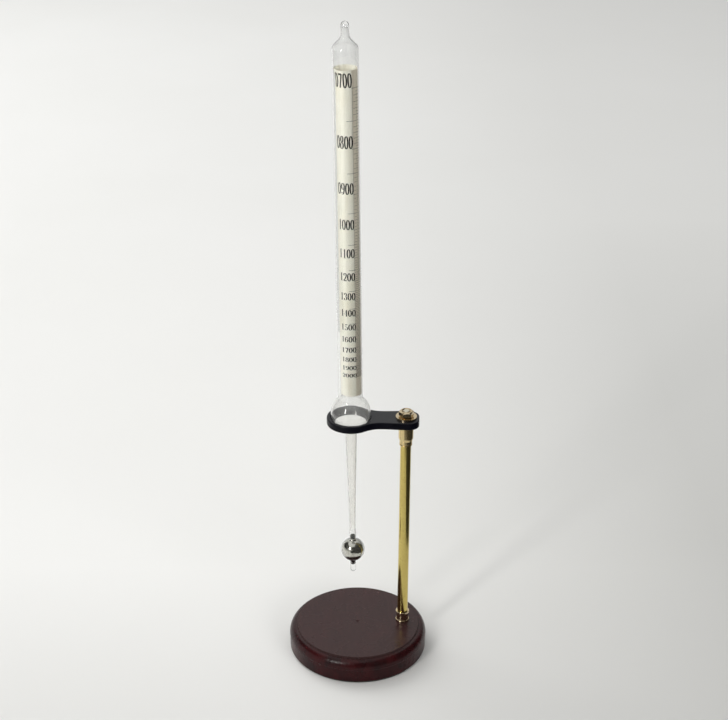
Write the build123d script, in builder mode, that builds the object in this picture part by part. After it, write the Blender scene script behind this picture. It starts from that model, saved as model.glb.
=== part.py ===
"""A glass hydrometer standing in the ring of a small display stand.

The stand is a turned wooden base, a brass rod and a black arm clamped on the rod by a nut. The
hydrometer is one sealed piece of glass with a paper scale in its tube and mercury in its lower bulb.
Millimetres, +Z up, origin at the centre of the stand's underside, rod on the +X side.
"""

from math import atan2, cos, degrees, radians, sin, sqrt
import os

from build123d import *

os.makedirs("parts", exist_ok=True)

# Wooden base and felt, heights from the table.
BASE_R = 50.8
BASE_TOP_Z = 19.3
BASE_CREASE_Z = 11.3
BASE_FOOT_R = 50.5
BASE_FOOT_ROUND = 0.8
TOP_FACE_R = 45.4
TOP_STEP_R = 45.9
TOP_STEP_H = 1.5
FELT_T = 1.0
FELT_R = 49.4
DIMPLE_R = 1.85
DIMPLE_DEPTH = 0.8

# Brass rod and the threaded studs turned on its ends.
ROD_X = 33.45
ROD_R = 3.88
ROD_TOP_Z = 185.0
STUD_R = 2.4
STUD_TOP_Z = 195.7
STUD_FOOT_Z = 1.5
THREAD_PITCH = 0.8
THREAD_DEPTH = 0.35
SLEEVE_GAP = 0.02
STUD_GAP = 0.08
NUT_AF = 9.5
NUT_CHAMFER = 1.0
NUT_END_R = 4.1
NUT_SINK = 0.9

# Fastener under the base, in a counterbore.
COUNTERBORE_R = 7.6
COUNTERBORE_TOP_Z = 8.6
BASE_WASHER_R = 6.3
BASE_WASHER_T = 1.0
BASE_NUT_H = 4.0

# Foot collar: two lips with a hollow neck between them.
COLLAR_H = 8.35
COLLAR_R = 5.05
COLLAR_GROOVE_R = 4.3
COLLAR_NECK_R = 4.62
COLLAR_LIP_H = 1.4
COLLAR_ROUND = 0.38

# Ferrule and ring under the arm.
FERRULE_R = 5.3
FERRULE_FOOT_R = 4.75
FERRULE_FOOT_Z = 172.4
FERRULE_TAPER_H = 1.9
RING_R = 4.55
RING_FOOT_Z = 168.5
RING_GROOVE_R = 4.2
RING_GROOVE_H = 0.7
RING_LIP_H = 0.6
RING_ROUND = 0.25

# Arm: a flat bar with a ring for the hydrometer.
ARM_T = 5.3
ARM_LENGTH = 39.2
ARM_END = 9.2
ARM_CORNER_R = 7.4
ARM_BOSS_HALF = 10.2
ARM_NECK_X = 17.2
ARM_NECK_HALF = 9.35
ARM_RING_R = 17.0
ARM_EDGE_R = 0.7
ARM_ANGLE = 173.3
SEAT_HALF_ANGLE = 30
SEAT_EDGE_R = 0.4
SEAT_GAP = 0.05
ARM_WASHER_R = 7.5
ARM_WASHER_T = 1.1
ARM_WASHER_BORE_R = 2.7
ARM_NUT_H = 4.2

# The hydrometer's ball rocks in the ring. It stands tilted about the ball's centre, its top towards
# -X, by a turn about an axis at this angle from +X.
LEAN = 1.0
LEAN_AXIS_ANGLE = 84.35

# Glass, outer surface. Heights are on the hydrometer's own axis, as it stands upright.
WALL = 0.6
TIP_FOOT_Z = 61.6
TIP_R = 2.2
WAIST_R = 2.05
WAIST_Z = 67.2
BULB_R = 8.75
BULB_Z = 80.35
BULB_FOOT_BLEND = 4.0
NECK_R = 2.55
NECK_Z = 93.5
NECK_BLEND = 1.0
STEM_FOOT_R = 2.15
STEM_FOOT_Z = 99.0
STEM_LOW_R = 2.4
STEM_LOW_Z = 113.5
STEM_HIGH_R = 3.32
STEM_HIGH_Z = 146.6
STEM_TOP_R = 4.03
BALL_R = 14.18
BALL_Z = 193.4
BALL_FOOT_BLEND = 4.0
BALL_TOP_BLEND = 5.0
TUBE_R = 8.66
SHOULDER_Z = 454.4
SHOULDER_R = 3.6
NIPPLE_FOOT_R = 3.0
NIPPLE_BLEND = 5.1
NIPPLE_R = 2.68
GLASS_TOP_Z = 472.2
CAVITY_FOOT_Z = 67.5
CAVITY_TOP_Z = 469.9

# Mercury and the paper roll inside the glass.
FILL_GAP = 0.02
MERCURY_TOP_Z = 93.0
MENISCUS_H = 0.7
PAPER_FOOT_Z = 209.6
PAPER_TOP_Z = 442.1
PAPER_R = 7.32
PAPER_T = 0.12
PAPER_OFFSET = 0.68
PAPER_LAP_STEP = 0.2
PAPER_LAP = 24.0
PAPER_SIDE = -5.65

ARM_TOP_Z = ROD_TOP_Z + ARM_T
ROD_AXIS = (ROD_X, 0)
GLASS_X = ROD_X + ARM_LENGTH * cos(radians(ARM_ANGLE))
GLASS_Y = ARM_LENGTH * sin(radians(ARM_ANGLE))


def standing_plane(x, y):
    """A vertical plane through an upright axis, with the radius as x and the height as y."""
    return Plane(origin=(x, y, 0), x_dir=(1, 0, 0), z_dir=(0, -1, 0))


def upright_axis(x, y):
    return Axis((x, y, 0), (0, 0, 1))


def on_circle(centre, radius, angle):
    return (
        centre[0] + radius * cos(radians(angle)),
        centre[1] + radius * sin(radians(angle)),
    )


def arc(centre, radius, start, end):
    """An arc about a centre, between two angles in degrees."""
    middle = (start + end) / 2
    ThreePointArc(
        on_circle(centre, radius, start),
        on_circle(centre, radius, middle),
        on_circle(centre, radius, end),
    )


def blend_height(ball_r, stem_r, blend_r):
    """How far a concave blend's centre is from the ball's, along the axis."""
    return sqrt((ball_r + blend_r) ** 2 - (stem_r + blend_r) ** 2)


def blend_angle(ball_r, stem_r, blend_r):
    """The angle at the ball's centre, from the horizontal, where the blend leaves the ball."""
    return Vector(stem_r + blend_r, blend_height(ball_r, stem_r, blend_r)).get_signed_angle(
        Vector(1, 0), Vector(0, 0, -1)
    )


def tilted(part):
    """A part of the hydrometer, turned with it about the ball's centre."""
    turn_dir = (cos(radians(LEAN_AXIS_ANGLE)), sin(radians(LEAN_AXIS_ANGLE)), 0)
    return part.rotate(Axis((GLASS_X, GLASS_Y, BALL_Z), turn_dir), -LEAN)


def ring_part(x, foot_z, top_z, outer_r, inner_r):
    """A plain washer or sleeve on an upright axis."""
    with BuildPart() as ring:
        with BuildSketch(Plane.XY.offset(foot_z)):
            with Locations((x, 0)):
                Circle(outer_r)
                Circle(inner_r, mode=Mode.SUBTRACT)
        extrude(amount=top_z - foot_z)
    return ring.part


def nut_part(foot_z, height):
    """A hexagon nut on the rod's axis, both ends chamfered to a circle."""
    corner_r = NUT_AF / 2 / cos(radians(30))
    with BuildPart() as nut:
        with BuildSketch(Plane.XY.offset(foot_z)):
            with Locations(ROD_AXIS):
                RegularPolygon(corner_r, 6)
        extrude(amount=height)
        with BuildSketch(standing_plane(ROD_X, 0)):
            with BuildLine():
                Polyline(
                    (0, foot_z),
                    (NUT_END_R, foot_z),
                    (corner_r, foot_z + NUT_CHAMFER),
                    (corner_r, foot_z + height - NUT_CHAMFER),
                    (NUT_END_R, foot_z + height),
                    (0, foot_z + height),
                    close=True,
                )
            make_face()
        revolve(axis=upright_axis(ROD_X, 0), mode=Mode.INTERSECT)
        with BuildSketch(Plane.XY.offset(foot_z)):
            with Locations(ROD_AXIS):
                Circle(STUD_R + STUD_GAP)
        extrude(amount=height, mode=Mode.SUBTRACT)
        bore_rims = nut.edges().filter_by(GeomType.CIRCLE).filter_by(
            lambda e: abs(e.radius - STUD_R - STUD_GAP) < 0.01
        )
        chamfer(bore_rims, NUT_SINK)
    return nut.part


def glass_line(inset, from_tip, to_nipple):
    """The glass outline at a depth inside its outer surface, from its lower end to its upper one."""
    foot_blend = BULB_FOOT_BLEND + inset
    foot_angle = -blend_angle(BULB_R, WAIST_R, BULB_FOOT_BLEND)
    foot_z = BULB_Z - blend_height(BULB_R, WAIST_R, BULB_FOOT_BLEND)
    neck_blend = NECK_BLEND + inset
    neck_angle = blend_angle(BULB_R, NECK_R, NECK_BLEND)
    neck_z = BULB_Z + blend_height(BULB_R, NECK_R, NECK_BLEND)
    stem_angle = -blend_angle(BALL_R, STEM_TOP_R, BALL_FOOT_BLEND)
    stem_z = BALL_Z - blend_height(BALL_R, STEM_TOP_R, BALL_FOOT_BLEND)
    tube_angle = blend_angle(BALL_R, TUBE_R, BALL_TOP_BLEND)
    tube_z = BALL_Z + blend_height(BALL_R, TUBE_R, BALL_TOP_BLEND)
    shoulder = (TUBE_R - SHOULDER_R, SHOULDER_Z)
    slope_run = (TUBE_R - SHOULDER_R + SHOULDER_R * cos(radians(45))) - (
        NIPPLE_FOOT_R + NIPPLE_BLEND - NIPPLE_BLEND * cos(radians(45))
    )
    nipple_z = (
        SHOULDER_Z
        + SHOULDER_R * sin(radians(45))
        + slope_run
        + NIPPLE_BLEND * sin(radians(45))
    )
    nipple = (NIPPLE_FOOT_R + NIPPLE_BLEND, nipple_z)

    # Lower end, bulb and neck.
    Line((WAIST_R - inset, from_tip), (WAIST_R - inset, foot_z))
    arc((WAIST_R + BULB_FOOT_BLEND, foot_z), foot_blend, 180, 180 + foot_angle)
    arc((0, BULB_Z), BULB_R - inset, foot_angle, neck_angle)
    arc((NECK_R + NECK_BLEND, neck_z), neck_blend, 180 + neck_angle, 180)
    Line((NECK_R - inset, neck_z), (NECK_R - inset, NECK_Z))
    # The stem widens evenly from the neck to the ball.
    Spline(
        (NECK_R - inset, NECK_Z),
        (STEM_FOOT_R - inset, STEM_FOOT_Z),
        (STEM_LOW_R - inset, STEM_LOW_Z),
        (STEM_HIGH_R - inset, STEM_HIGH_Z),
        (STEM_TOP_R - inset, stem_z),
        tangents=((0, 1), (0, 1)),
    )
    arc((STEM_TOP_R + BALL_FOOT_BLEND, stem_z), BALL_FOOT_BLEND + inset, 180, 180 + stem_angle)
    arc((0, BALL_Z), BALL_R - inset, stem_angle, tube_angle)
    arc((TUBE_R + BALL_TOP_BLEND, tube_z), BALL_TOP_BLEND + inset, 180 + tube_angle, 180)
    # Tube, shoulder and nipple.
    Line((TUBE_R - inset, tube_z), (TUBE_R - inset, SHOULDER_Z))
    arc(shoulder, SHOULDER_R - inset, 0, 45)
    Line(
        on_circle(shoulder, SHOULDER_R - inset, 45),
        on_circle(nipple, NIPPLE_BLEND + inset, 225),
    )
    arc(nipple, NIPPLE_BLEND + inset, 225, 180)
    Line((NIPPLE_FOOT_R - inset, nipple_z), (NIPPLE_R - inset, to_nipple))


# Base: a turned disc with a convex top moulding, bored for the rod's lower stud.
ovolo_foot = (BASE_R, BASE_CREASE_Z)
ovolo_top = (TOP_STEP_R, BASE_TOP_Z - TOP_STEP_H)
with BuildPart() as wood_base:
    with BuildSketch(Plane.XZ):
        with BuildLine():
            Line((0, FELT_T), (BASE_FOOT_R - BASE_FOOT_ROUND, FELT_T))
            arc(
                (BASE_FOOT_R - BASE_FOOT_ROUND, FELT_T + BASE_FOOT_ROUND),
                BASE_FOOT_ROUND,
                -90,
                0,
            )
            Line(
                (BASE_FOOT_R, FELT_T + BASE_FOOT_ROUND),
                (BASE_R - 0.25, BASE_CREASE_Z - 0.5),
            )
            Line((BASE_R - 0.25, BASE_CREASE_Z - 0.5), ovolo_foot)
            EllipticalCenterArc(
                (TOP_STEP_R, BASE_CREASE_Z),
                BASE_R - TOP_STEP_R,
                BASE_TOP_Z - TOP_STEP_H - BASE_CREASE_Z,
                start_angle=0,
                arc_size=90,
            )
            Line(ovolo_top, (TOP_FACE_R, BASE_TOP_Z - TOP_STEP_H + 0.15))
            Line((TOP_FACE_R, BASE_TOP_Z - TOP_STEP_H + 0.15), (TOP_FACE_R - 0.3, BASE_TOP_Z))
            Line((TOP_FACE_R - 0.3, BASE_TOP_Z), (DIMPLE_R, BASE_TOP_Z))
            Line((DIMPLE_R, BASE_TOP_Z), (0, BASE_TOP_Z - DIMPLE_DEPTH))
            Line((0, BASE_TOP_Z - DIMPLE_DEPTH), (0, FELT_T))
        make_face()
    revolve(axis=Axis.Z)
    with BuildSketch(Plane.XY):
        with Locations(ROD_AXIS):
            Circle(STUD_R + STUD_GAP)
    extrude(amount=BASE_TOP_Z, mode=Mode.SUBTRACT)
    with BuildSketch(Plane.XY):
        with Locations(ROD_AXIS):
            Circle(COUNTERBORE_R)
    extrude(amount=COUNTERBORE_TOP_Z, mode=Mode.SUBTRACT)
wood_base.part.label = "wood_base"
export_step(wood_base.part, "parts/wood_base.step")

with BuildPart() as felt_pad:
    with BuildSketch(Plane.XY):
        Circle(FELT_R)
    extrude(amount=FELT_T)
felt_pad.part.label = "felt_pad"
export_step(felt_pad.part, "parts/felt_pad.step")

# Rod: one bar with a threaded stud turned on each end. The thread is drawn as rings.
with BuildPart() as brass_rod:
    with BuildSketch(standing_plane(ROD_X, 0)):
        with BuildLine():
            Polyline(
                (0, STUD_FOOT_Z),
                (STUD_R - THREAD_DEPTH, STUD_FOOT_Z),
                (STUD_R, STUD_FOOT_Z + THREAD_DEPTH),
                (STUD_R, BASE_TOP_Z),
                (ROD_R, BASE_TOP_Z),
                (ROD_R, ROD_TOP_Z),
                (STUD_R, ROD_TOP_Z),
                (STUD_R, STUD_TOP_Z - THREAD_DEPTH),
                (STUD_R - THREAD_DEPTH, STUD_TOP_Z),
                (0, STUD_TOP_Z),
                close=True,
            )
        make_face()
    revolve(axis=upright_axis(ROD_X, 0))
    low_threads = int((COUNTERBORE_TOP_Z - STUD_FOOT_Z - THREAD_DEPTH) / THREAD_PITCH)
    high_threads = int((STUD_TOP_Z - ARM_TOP_Z - THREAD_DEPTH) / THREAD_PITCH)
    low_roots = [STUD_FOOT_Z + 1.0 + i * THREAD_PITCH for i in range(low_threads)]
    high_roots = [STUD_TOP_Z - 1.0 - i * THREAD_PITCH for i in range(high_threads)]
    with BuildSketch(standing_plane(ROD_X, 0)):
        for root_z in low_roots + high_roots:
            with BuildLine():
                Polyline(
                    (STUD_R - THREAD_DEPTH, root_z),
                    (STUD_R + 0.1, root_z - THREAD_PITCH * 0.45),
                    (STUD_R + 0.1, root_z + THREAD_PITCH * 0.45),
                    close=True,
                )
            make_face()
    revolve(axis=upright_axis(ROD_X, 0), mode=Mode.SUBTRACT)
brass_rod.part.label = "brass_rod"
export_step(brass_rod.part, "parts/brass_rod.step")

# Fasteners that hold the rod to the base, in the counterbore.
base_washer_z = COUNTERBORE_TOP_Z - BASE_WASHER_T
base_washer = ring_part(
    ROD_X, base_washer_z, COUNTERBORE_TOP_Z, BASE_WASHER_R, ARM_WASHER_BORE_R
)
base_washer.label = "base_washer"
export_step(base_washer, "parts/base_washer.step")

base_nut = nut_part(base_washer_z - BASE_NUT_H, BASE_NUT_H)
base_nut.label = "base_nut"
export_step(base_nut, "parts/base_nut.step")

# Foot collar: a brass sleeve with a rounded lip at each end.
with BuildPart() as foot_collar:
    bore_r = ROD_R + SLEEVE_GAP
    collar_top_z = BASE_TOP_Z + COLLAR_H
    with BuildSketch(standing_plane(ROD_X, 0)):
        with BuildLine():
            low_lip_z = BASE_TOP_Z + COLLAR_LIP_H
            high_lip_z = collar_top_z - COLLAR_LIP_H
            Polyline(
                (COLLAR_NECK_R, low_lip_z),
                (COLLAR_R, low_lip_z),
                (COLLAR_R, BASE_TOP_Z),
                (bore_r, BASE_TOP_Z),
                (bore_r, collar_top_z),
                (COLLAR_R, collar_top_z),
                (COLLAR_R, high_lip_z),
                (COLLAR_NECK_R, high_lip_z),
            )
            ThreePointArc(
                (COLLAR_NECK_R, high_lip_z),
                (COLLAR_GROOVE_R, (low_lip_z + high_lip_z) / 2),
                (COLLAR_NECK_R, low_lip_z),
            )
        make_face()
    revolve(axis=upright_axis(ROD_X, 0))
    lip_rims = foot_collar.edges().filter_by(GeomType.CIRCLE).filter_by(
        lambda e: abs(e.radius - COLLAR_R) < 0.01 and e.center().Z > BASE_TOP_Z + 0.1
    )
    fillet(lip_rims, COLLAR_ROUND)
foot_collar.part.label = "foot_collar"
export_step(foot_collar.part, "parts/foot_collar.step")

# Ferrule and ring at the rod's upper end. The arm rests on the ferrule and on the rod's shoulder.
with BuildPart() as top_ferrule:
    with BuildSketch(standing_plane(ROD_X, 0)):
        with BuildLine():
            Polyline(
                (ROD_R + SLEEVE_GAP, FERRULE_FOOT_Z),
                (FERRULE_FOOT_R, FERRULE_FOOT_Z),
                (FERRULE_R, FERRULE_FOOT_Z + FERRULE_TAPER_H),
                (FERRULE_R, ROD_TOP_Z),
                (ROD_R + SLEEVE_GAP, ROD_TOP_Z),
                close=True,
            )
        make_face()
    revolve(axis=upright_axis(ROD_X, 0))
    taper_rim = top_ferrule.edges().filter_by(GeomType.CIRCLE).filter_by(
        lambda e: abs(e.center().Z - FERRULE_FOOT_Z - FERRULE_TAPER_H) < 0.01
    )
    fillet(taper_rim, 1.5)
    top_rim = top_ferrule.edges().filter_by(GeomType.CIRCLE).filter_by(
        lambda e: abs(e.center().Z - ROD_TOP_Z) < 0.01 and abs(e.radius - FERRULE_R) < 0.01
    )
    chamfer(top_rim, 0.25)
top_ferrule.part.label = "top_ferrule"
export_step(top_ferrule.part, "parts/top_ferrule.step")

with BuildPart() as ferrule_ring:
    groove_top_z = RING_FOOT_Z + RING_LIP_H + RING_GROOVE_H
    with BuildSketch(standing_plane(ROD_X, 0)):
        with BuildLine():
            Polyline(
                (ROD_R + SLEEVE_GAP, RING_FOOT_Z),
                (RING_R, RING_FOOT_Z),
                (RING_R, RING_FOOT_Z + RING_LIP_H),
                (RING_GROOVE_R, RING_FOOT_Z + RING_LIP_H),
                (RING_GROOVE_R, groove_top_z),
                (RING_R, groove_top_z),
                (RING_R, FERRULE_FOOT_Z),
                (ROD_R + SLEEVE_GAP, FERRULE_FOOT_Z),
                close=True,
            )
        make_face()
    revolve(axis=upright_axis(ROD_X, 0))
    bead_rims = ferrule_ring.edges().filter_by(GeomType.CIRCLE).filter_by(
        lambda e: abs(e.radius - RING_R) < 0.01 and e.center().Z > groove_top_z - 0.01
    )
    fillet(bead_rims, RING_ROUND)
ferrule_ring.part.label = "ferrule_ring"
export_step(ferrule_ring.part, "parts/ferrule_ring.step")

# Arm: the local x axis runs from the rod to the hydrometer's axis. Its seat is a countersink, and
# the ball rests on the circle where the cone touches it.
seat_ball_r = BALL_R + SEAT_GAP
seat_touch_r = seat_ball_r * cos(radians(SEAT_HALF_ANGLE))
seat_touch_z = BALL_Z - seat_ball_r * sin(radians(SEAT_HALF_ANGLE))
seat_slope = sin(radians(SEAT_HALF_ANGLE)) / cos(radians(SEAT_HALF_ANGLE))
seat_foot_r = seat_touch_r + seat_slope * (ROD_TOP_Z - seat_touch_z)
seat_top_r = seat_touch_r + seat_slope * (ARM_TOP_Z - seat_touch_z)
neck_run = ARM_LENGTH - ARM_NECK_X
neck_blend_r = (neck_run**2 + ARM_NECK_HALF**2 - ARM_RING_R**2) / (
    2 * (ARM_RING_R - ARM_NECK_HALF)
)
blend_y = ARM_NECK_HALF + neck_blend_r
ring_share = ARM_RING_R / (ARM_RING_R + neck_blend_r)
ring_join = (ARM_LENGTH - neck_run * ring_share, blend_y * ring_share)
blend_turn = 90 - degrees(atan2(blend_y, neck_run))
corner_x = ARM_CORNER_R - ARM_END
corner_y = ARM_BOSS_HALF - ARM_CORNER_R
arm_dir = (cos(radians(ARM_ANGLE)), sin(radians(ARM_ANGLE)), 0)
arm_plane = Plane(origin=(ROD_X, 0, ROD_TOP_Z), x_dir=arm_dir, z_dir=(0, 0, 1))
with BuildPart() as holder_arm:
    with BuildSketch(arm_plane):
        with BuildLine():
            CenterArc((corner_x, corner_y), ARM_CORNER_R, 180, -90)
            Spline(
                (corner_x, ARM_BOSS_HALF),
                (ARM_NECK_X, ARM_NECK_HALF),
                tangents=[(1, 0), (1, 0)],
            )
            CenterArc((ARM_NECK_X, blend_y), neck_blend_r, -90, blend_turn)
            mirror(about=Plane.XZ)
            Line((-ARM_END, -corner_y), (-ARM_END, corner_y))
            ThreePointArc(ring_join, (ARM_LENGTH + ARM_RING_R, 0), (ring_join[0], -ring_join[1]))
        make_face()
    extrude(amount=ARM_T)
    outer_rims = holder_arm.edges().filter_by(
        lambda e: abs(e.center().Z - ARM_TOP_Z) < 0.01 or abs(e.center().Z - ROD_TOP_Z) < 0.01
    )
    fillet(outer_rims, ARM_EDGE_R)
    with BuildSketch(arm_plane):
        Circle(STUD_R + STUD_GAP)
    extrude(amount=ARM_T, mode=Mode.SUBTRACT)
    with BuildSketch(standing_plane(GLASS_X, GLASS_Y)):
        with BuildLine():
            Polyline(
                (0, ROD_TOP_Z - 1),
                (seat_foot_r - seat_slope, ROD_TOP_Z - 1),
                (seat_top_r + seat_slope, ARM_TOP_Z + 1),
                (0, ARM_TOP_Z + 1),
                close=True,
            )
        make_face()
    revolve(axis=upright_axis(GLASS_X, GLASS_Y), mode=Mode.SUBTRACT)
    seat_rims = holder_arm.edges().filter_by(GeomType.CIRCLE).filter_by(
        lambda e: abs(e.radius - seat_foot_r) < 0.01 or abs(e.radius - seat_top_r) < 0.01
    )
    fillet(seat_rims, SEAT_EDGE_R)
holder_arm.part.label = "holder_arm"
export_step(holder_arm.part, "parts/holder_arm.step")

arm_washer_top_z = ARM_TOP_Z + ARM_WASHER_T
arm_washer = ring_part(ROD_X, ARM_TOP_Z, arm_washer_top_z, ARM_WASHER_R, ARM_WASHER_BORE_R)
arm_washer.label = "arm_washer"
export_step(arm_washer, "parts/arm_washer.step")

arm_nut = nut_part(arm_washer_top_z, ARM_NUT_H)
arm_nut.label = "arm_nut"
export_step(arm_nut, "parts/arm_nut.step")

# Hydrometer glass: one closed skin, solid at both ends.
glass_plane = standing_plane(GLASS_X, GLASS_Y)
glass_axis = upright_axis(GLASS_X, GLASS_Y)
nipple_cap_z = GLASS_TOP_Z - NIPPLE_R
with BuildPart() as glass_envelope:
    with BuildSketch(glass_plane):
        with BuildLine():
            arc((0, TIP_FOOT_Z + TIP_R), TIP_R, -90, 0)
            Line((TIP_R, TIP_FOOT_Z + TIP_R), (WAIST_R, WAIST_Z))
            glass_line(0, WAIST_Z, nipple_cap_z)
            arc((0, nipple_cap_z), NIPPLE_R, 0, 90)
            Line((0, GLASS_TOP_Z), (0, TIP_FOOT_Z))
        make_face()
    revolve(axis=glass_axis)
    cavity_foot_r = WAIST_R - WALL
    cavity_top_r = NIPPLE_R - WALL
    with BuildSketch(glass_plane):
        with BuildLine():
            arc((0, CAVITY_FOOT_Z + cavity_foot_r), cavity_foot_r, -90, 0)
            glass_line(WALL, CAVITY_FOOT_Z + cavity_foot_r, CAVITY_TOP_Z - cavity_top_r)
            arc((0, CAVITY_TOP_Z - cavity_top_r), cavity_top_r, 0, 90)
            Line((0, CAVITY_TOP_Z), (0, CAVITY_FOOT_Z))
        make_face()
    revolve(axis=glass_axis, mode=Mode.SUBTRACT)
glass_envelope_tilted = tilted(glass_envelope.part)
glass_envelope_tilted.label = "glass_envelope"
export_step(glass_envelope_tilted, "parts/glass_envelope.step")

# Mercury: it fills the bulb and the neck above it, and ends in a domed surface.
fill = WALL + FILL_GAP
with BuildPart() as mercury_ballast:
    with BuildSketch(glass_plane):
        with BuildLine():
            fill_foot_r = WAIST_R - fill
            arc((0, CAVITY_FOOT_Z + cavity_foot_r), fill_foot_r, -90, 0)
            glass_line(fill, CAVITY_FOOT_Z + cavity_foot_r, CAVITY_TOP_Z - cavity_top_r)
            Line(
                (NIPPLE_R - fill, CAVITY_TOP_Z - cavity_top_r),
                (0, CAVITY_TOP_Z - cavity_top_r),
            )
            Line(
                (0, CAVITY_TOP_Z - cavity_top_r),
                (0, CAVITY_FOOT_Z + cavity_foot_r - fill_foot_r),
            )
        make_face()
    revolve(axis=glass_axis)
    dome_r = (NECK_R**2 + MENISCUS_H**2) / (2 * MENISCUS_H)
    with BuildSketch(glass_plane):
        with BuildLine():
            Line((0, 0), (NECK_R + BULB_R, 0))
            Line((NECK_R + BULB_R, 0), (NECK_R + BULB_R, MERCURY_TOP_Z - MENISCUS_H))
            Line(
                (NECK_R + BULB_R, MERCURY_TOP_Z - MENISCUS_H),
                (NECK_R, MERCURY_TOP_Z - MENISCUS_H),
            )
            ThreePointArc(
                (NECK_R, MERCURY_TOP_Z - MENISCUS_H),
                (
                    NECK_R / 2,
                    MERCURY_TOP_Z - dome_r + sqrt(dome_r**2 - (NECK_R / 2) ** 2),
                ),
                (0, MERCURY_TOP_Z),
            )
            Line((0, MERCURY_TOP_Z), (0, 0))
        make_face()
    revolve(axis=glass_axis, mode=Mode.INTERSECT)
mercury_ballast_tilted = tilted(mercury_ballast.part)
mercury_ballast_tilted.label = "mercury_ballast"
export_step(mercury_ballast_tilted, "parts/mercury_ballast.step")

# Paper scale: one rolled sheet whose last stretch laps inside the first, leaning on the glass.
paper_x = GLASS_X + PAPER_OFFSET * cos(radians(PAPER_SIDE))
paper_y = GLASS_Y + PAPER_OFFSET * sin(radians(PAPER_SIDE))
lap_start = 90 - PAPER_LAP / 2
with BuildPart() as scale_paper:
    with BuildSketch(Plane.XY.offset(PAPER_FOOT_Z)):
        with BuildLine(Plane(origin=(paper_x, paper_y, PAPER_FOOT_Z))) as roll:
            mid_r = PAPER_R - PAPER_T / 2
            inner_r = mid_r - PAPER_LAP_STEP
            arc((0, 0), mid_r, lap_start, lap_start + 350)
            Line(
                on_circle((0, 0), mid_r, lap_start + 350),
                on_circle((0, 0), inner_r, lap_start + 354),
            )
            arc((0, 0), inner_r, lap_start + 354, lap_start + 360 + PAPER_LAP)
        trace(roll.edges(), line_width=PAPER_T)
    extrude(amount=PAPER_TOP_Z - PAPER_FOOT_Z)
scale_paper_tilted = tilted(scale_paper.part)
scale_paper_tilted.label = "scale_paper"
export_step(scale_paper_tilted, "parts/scale_paper.step")
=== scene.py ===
"""A sealed glass hydrometer on its display stand: materials, printed scale, light and camera.

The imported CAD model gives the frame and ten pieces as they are. The glass, mercury, paper and rod are
drawn again here. Lengths are in metres, or in millimetres where a heading or a comment says so.
"""

import math

import bpy
from mathutils import Matrix, Vector


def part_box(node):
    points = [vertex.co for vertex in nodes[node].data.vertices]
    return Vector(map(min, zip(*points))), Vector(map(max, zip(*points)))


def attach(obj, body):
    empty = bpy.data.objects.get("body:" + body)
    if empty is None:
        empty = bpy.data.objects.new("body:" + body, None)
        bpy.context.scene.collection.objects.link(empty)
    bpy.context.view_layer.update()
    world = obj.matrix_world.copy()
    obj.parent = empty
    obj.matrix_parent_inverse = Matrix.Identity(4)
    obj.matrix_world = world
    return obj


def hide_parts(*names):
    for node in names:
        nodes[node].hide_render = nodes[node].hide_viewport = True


MM = 0.001

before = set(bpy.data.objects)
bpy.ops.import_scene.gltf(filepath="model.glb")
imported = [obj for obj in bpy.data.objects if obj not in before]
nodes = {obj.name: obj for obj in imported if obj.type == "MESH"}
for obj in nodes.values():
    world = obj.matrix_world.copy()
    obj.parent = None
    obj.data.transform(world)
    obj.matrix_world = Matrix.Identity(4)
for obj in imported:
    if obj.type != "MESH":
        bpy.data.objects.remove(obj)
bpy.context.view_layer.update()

# Directions round the object: the viewer's right, straight away from the viewer, and up.
VIEW_AZIMUTH = -5.65
RIGHT = Vector((math.cos(math.radians(VIEW_AZIMUTH)), math.sin(math.radians(VIEW_AZIMUTH)), 0))
FORWARD = Vector((-RIGHT.y, RIGHT.x, 0))
UP = Vector((0, 0, 1))


# ---------------------------------------------------------------- camera, light and floor

CAMERA_SIDE = 3.12 * MM
CAMERA_BACK = 1024.44 * MM
CAMERA_HEIGHT = 731.02 * MM
CAMERA_PITCH = 25.77
CAMERA_ROLL = 0.44
CAMERA_LENS_MM = 81.36

# The key lamp's direction, and how far the gap left for it reaches on either side, in degrees.
KEY_ANGLE, KEY_GAP = -36.0, 14.0


def make_camera():
    data = bpy.data.cameras.new("view_camera")
    data.lens = CAMERA_LENS_MM
    data.sensor_width = 36.0
    data.clip_start = 0.01
    data.clip_end = 50.0
    camera = bpy.data.objects.new("view_camera", data)
    bpy.context.scene.collection.objects.link(camera)
    camera.location = RIGHT * CAMERA_SIDE - FORWARD * CAMERA_BACK + UP * CAMERA_HEIGHT
    turn = Matrix.Rotation(math.radians(VIEW_AZIMUTH), 4, "Z")
    tilt = Matrix.Rotation(math.radians(90 - CAMERA_PITCH), 4, "X")
    roll = Matrix.Rotation(math.radians(CAMERA_ROLL), 4, "Z")
    camera.matrix_world = Matrix.Translation(camera.location) @ turn @ tilt @ roll
    bpy.context.scene.camera = camera


def around(angle, distance, height):
    """A place round the base's centre: angle is to the viewer's right of straight in front."""
    side = math.sin(math.radians(angle))
    near = math.cos(math.radians(angle))
    return RIGHT * side * distance - FORWARD * near * distance + UP * height


def area_lamp(name, start, target, size, power, colour):
    data = bpy.data.lights.new(name, "AREA")
    data.shape = "RECTANGLE"
    data.size, data.size_y = size
    data.energy = power
    data.color = colour
    lamp = bpy.data.objects.new(name, data)
    bpy.context.scene.collection.objects.link(lamp)
    lamp.location = start
    lamp.rotation_mode = "QUATERNION"
    lamp.rotation_quaternion = (target - start).to_track_quat("-Z", "Y")
    return lamp


# ---------------------------------------------------------------- node helpers

def new_material(name):
    made = bpy.data.materials.new(name)
    made.use_nodes = True
    return made, made.node_tree, made.node_tree.nodes["Principled BSDF"]


def add(tree, kind, **settings):
    """A node of that kind, with its properties set by name."""
    node = tree.nodes.new(kind)
    for key, value in settings.items():
        setattr(node, key, value)
    return node


def link(tree, source, target):
    tree.links.new(source, target)


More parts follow.
